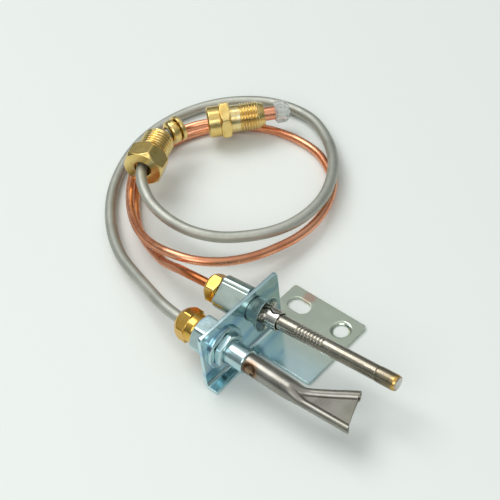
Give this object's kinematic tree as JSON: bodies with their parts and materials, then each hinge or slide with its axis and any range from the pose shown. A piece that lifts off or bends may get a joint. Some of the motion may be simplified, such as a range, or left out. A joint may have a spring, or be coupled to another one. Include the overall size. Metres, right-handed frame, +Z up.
{
  "type": "thermocouple pilot assembly",
  "caption": "Bracket holding a thermocouple probe beside a fishtail pilot burner, with the coiled copper lead and aluminium gas tube and their brass end fittings.",
  "frame": {"origin": "on the underside of the bracket's base, midway between its slot and its screw hole", "axes": "+X is the way the burner fires, +Z is up from the base, +Y runs from the burner towards the base's screw-hole side"},
  "size_m": [0.1232, 0.0949, 0.0185],
  "materials": {
    "zinc_steel": "bright zinc plate with a cool blue-green cast",
    "brass": "turned, bright",
    "copper": "drawn copper, satin",
    "aluminium": "drawn tube, satin",
    "stainless": "bright drawn stainless",
    "heat_tint": "heat-tinted stainless, bronze to straw",
    "ceramic": "unglazed ceramic",
    "fibre": "vulcanised fibre",
    "clear_plastic": "clear moulded plastic"
  },
  "bodies": {
    "pilot": {"bracket": "zinc_steel", "burner_body": "zinc_steel", "burner_disc": "zinc_steel", "burner_locknut": "zinc_steel", "fishtail_hood": "stainless", "gas_orifice": "brass", "inlet_ferrule": "brass", "inlet_nut": "brass", "pilot_tube": "aluminium", "thermocouple_holder": "zinc_steel", "thermocouple_nut": "brass", "junction_bush": "brass", "retaining_clip": "stainless", "probe_sheath": "stainless", "probe_tip": "heat_tint", "tip_button": "stainless", "ceramic_sleeve": "ceramic", "inner_conductor": "copper", "copper_lead": "copper", "lead_ferrule": "copper", "insulating_washer": "fibre", "contact_tip": "copper"},
    "outlet_nut": {"outlet_nut": "brass"},
    "outlet_ferrule": {"outlet_ferrule": "brass", "outlet_ring": "brass"},
    "connector_nut": {"connector_nut": "brass"},
    "protective_cap": {"protective_cap": "clear_plastic"}
  },
  "joints": [
    {"name": "outlet_nut_spin", "type": "hinge", "parent": "pilot", "child": "outlet_nut", "pos_m": [-0.0686, 0.0051, 0.0115], "axis": [-0.3827, 0.9239, 0], "continuous": true},
    {"name": "outlet_ferrule_slide", "type": "slide", "parent": "pilot", "child": "outlet_ferrule", "axis": [0.1736, 0.9848, 0], "range_m": [0, 0.004]},
    {"name": "connector_nut_spin", "type": "hinge", "parent": "pilot", "child": "connector_nut", "pos_m": [-0.0708, 0.034, 0.0077], "axis": [0.6481, 0.7615, 0], "continuous": true},
    {"name": "protective_cap_pull", "type": "slide", "parent": "pilot", "child": "protective_cap", "axis": [0.6481, 0.7615, 0], "range_m": [0, 0.007]}
  ]
}
